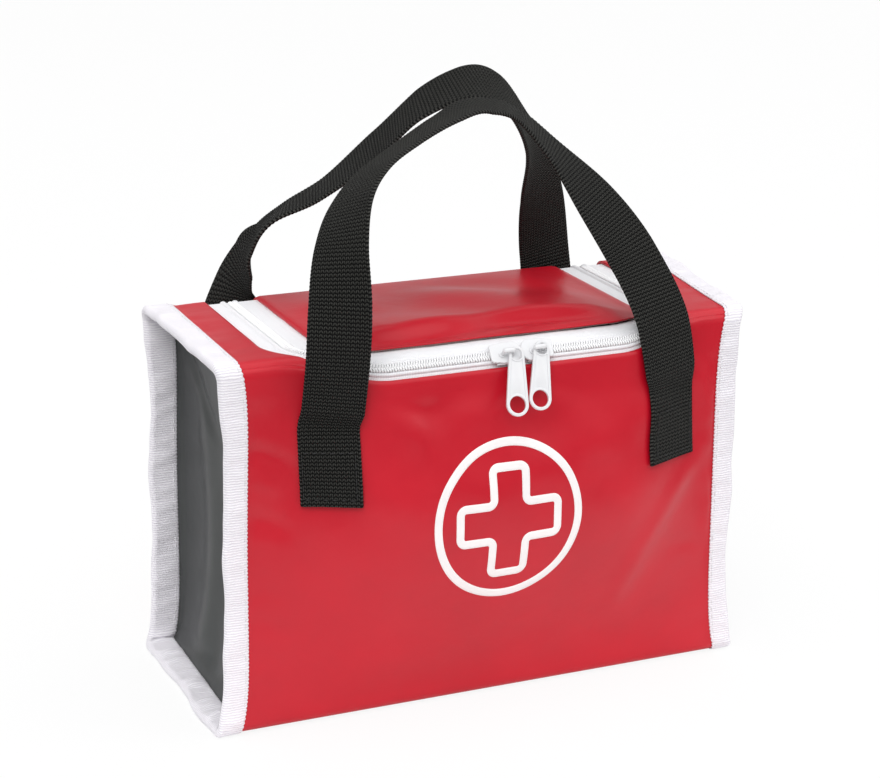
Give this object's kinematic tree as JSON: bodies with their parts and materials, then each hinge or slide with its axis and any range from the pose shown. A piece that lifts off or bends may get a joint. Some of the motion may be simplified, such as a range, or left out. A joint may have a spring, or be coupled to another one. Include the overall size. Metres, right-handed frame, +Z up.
{
  "type": "toy doctor case",
  "caption": "Soft zipped toy doctor case with bound end panels, a fold-back zip lid, sliders with pulls and webbing carry handles.",
  "frame": {"origin": "on the ground under the middle of the case, halfway between the front and back seams", "axes": "+X to the right along the front, -Y is the way the front faces, +Z up"},
  "size_m": [0.2319, 0.1412, 0.2349],
  "materials": {
    "red_sheet": "satin",
    "grey_sheet": "satin",
    "white_ribbon": "matte",
    "white_tape": "matte",
    "white_coil": "satin",
    "white_paint": "gloss",
    "white_print": "satin",
    "black_webbing": "matte",
    "board": "matte"
  },
  "bodies": {
    "case_body": {"front_panel": "red_sheet", "back_panel": "red_sheet", "base_panel": "red_sheet", "top_left_strip": "red_sheet", "top_right_strip": "red_sheet", "left_side_panel": "grey_sheet", "right_side_panel": "grey_sheet", "left_binding": "white_ribbon", "right_binding": "white_ribbon", "base_board": "board", "front_emblem": "white_print", "front_handle_ends": "black_webbing", "rear_handle_ends": "black_webbing", "body_zip_tape": "white_tape", "body_zip_coil": "white_coil"},
    "lid": {"lid_panel": "red_sheet", "lid_zip_tape": "white_tape", "lid_zip_coil": "white_coil"},
    "left_slider_body": {"left_slider": "white_paint"},
    "left_pull_body": {"left_pull": "white_paint"},
    "right_slider_body": {"right_slider": "white_paint"},
    "right_pull_body": {"right_pull": "white_paint"},
    "front_handle_body": {"front_handle": "black_webbing"},
    "rear_handle_body": {"rear_handle": "black_webbing"}
  },
  "joints": [
    {"name": "lid_hinge", "type": "hinge", "parent": "case_body", "child": "lid", "pos_m": [0, 0.041, 0.144], "axis": [-1, 0, 0], "range_deg": [0, 110], "deforming": ["lid_zip_tape", "lid_zip_coil"]},
    {"name": "front_handle_swing", "type": "hinge", "parent": "case_body", "child": "front_handle_body", "pos_m": [0, -0.0618, 0.1203], "axis": [1, 0, 0], "range_deg": [0, 125]},
    {"name": "rear_handle_swing", "type": "hinge", "parent": "case_body", "child": "rear_handle_body", "pos_m": [0, 0.0515, 0.1203], "axis": [-1, 0, 0], "range_deg": [0, 125]},
    {"name": "left_slider_travel", "type": "slide", "parent": "case_body", "child": "left_slider_body", "axis": [-1, 0, 0], "range_m": [0, 0.038]},
    {"name": "right_slider_travel", "type": "slide", "parent": "case_body", "child": "right_slider_body", "axis": [1, 0, 0], "range_m": [0, 0.029]},
    {"name": "left_pull_tilt", "type": "hinge", "parent": "left_slider_body", "child": "left_pull_body", "pos_m": [0.005, -0.05897, 0.14208], "axis": [-1, 0, 0], "range_deg": [0, 50]},
    {"name": "right_pull_tilt", "type": "hinge", "parent": "right_slider_body", "child": "right_pull_body", "pos_m": [0.0161, -0.05897, 0.14208], "axis": [-1, 0, 0], "range_deg": [0, 50]}
  ],
  "couplings": [
    {"joint": "front_handle_swing", "follows": "lid_hinge", "ratio": 1.136},
    {"joint": "rear_handle_swing", "follows": "lid_hinge", "ratio": 1.136}
  ]
}
